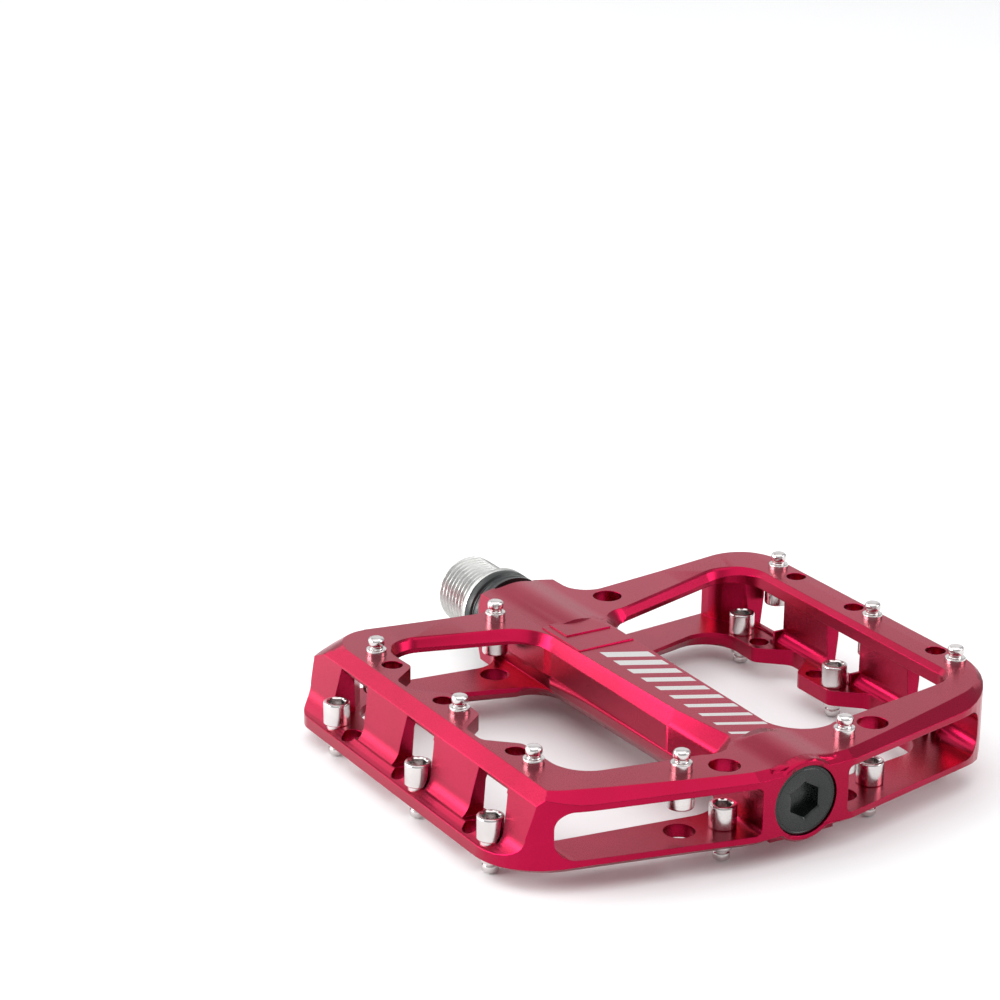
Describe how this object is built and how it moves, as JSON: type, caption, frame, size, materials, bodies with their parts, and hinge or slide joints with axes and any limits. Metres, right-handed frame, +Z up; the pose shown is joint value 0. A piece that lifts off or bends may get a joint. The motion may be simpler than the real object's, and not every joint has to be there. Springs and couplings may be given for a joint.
{
  "type": "flat bicycle pedal",
  "caption": "Flat mountain-bike pedal: an open machined platform with screwed-in traction pins, turning on a bush and sealed bearings on a threaded axle.",
  "frame": {"origin": "on the axle axis, in the plane of the shoulder that meets the crank arm", "axes": "+Y along the axle out of the platform towards the crank, +Z up out of the upper tread face, +X taken as the riding direction"},
  "size_m": [0.108, 0.1195, 0.0224],
  "materials": {
    "red_anodised": "satin red anodising",
    "steel": "bright machined steel",
    "pin_steel": "polished, lightly worn",
    "bearing_steel": "ground",
    "cage_brass": "pressed",
    "rubber_black": "matt",
    "bush_plastic": "satin",
    "black_anodised": "satin black anodising"
  },
  "bodies": {
    "axle": {"axle": "steel", "dust_seal": "rubber_black", "inner_race_a": "bearing_steel", "inner_race_b": "bearing_steel", "axle_washer": "bearing_steel", "lock_nut": "bearing_steel"},
    "pedal": {"pedal_body": "red_anodised", "inboard_bush": "bush_plastic", "outer_race_a": "bearing_steel", "outer_race_b": "bearing_steel", "shields_a": "rubber_black", "shields_b": "rubber_black", "end_cap": "black_anodised", "cap_oring": "rubber_black", "pins_top_fingers": "pin_steel", "pins_top_edge": "pin_steel", "pins_top_outboard": "pin_steel", "pin_top_inboard": "pin_steel", "pins_bottom_fingers": "pin_steel", "pins_bottom_edge": "pin_steel", "pins_bottom_outboard": "pin_steel", "pin_bottom_inboard": "pin_steel"},
    "cage_a": {"ball_cage_a": "cage_brass", "balls_a": "bearing_steel"},
    "cage_b": {"ball_cage_b": "cage_brass", "balls_b": "bearing_steel"}
  },
  "joints": [
    {"name": "pedal_spin", "type": "hinge", "parent": "axle", "child": "pedal", "pos_m": [0, 0, 0], "axis": [0, 1, 0], "continuous": true},
    {"name": "cage_a_spin", "type": "hinge", "parent": "axle", "child": "cage_a", "pos_m": [0, -0.0926, 0], "axis": [0, 1, 0], "continuous": true},
    {"name": "cage_b_spin", "type": "hinge", "parent": "axle", "child": "cage_b", "pos_m": [0, -0.0966, 0], "axis": [0, 1, 0], "continuous": true}
  ],
  "couplings": [
    {"joint": "cage_a_spin", "follows": "pedal_spin", "ratio": 0.5934},
    {"joint": "cage_b_spin", "follows": "pedal_spin", "ratio": 0.5934}
  ]
}
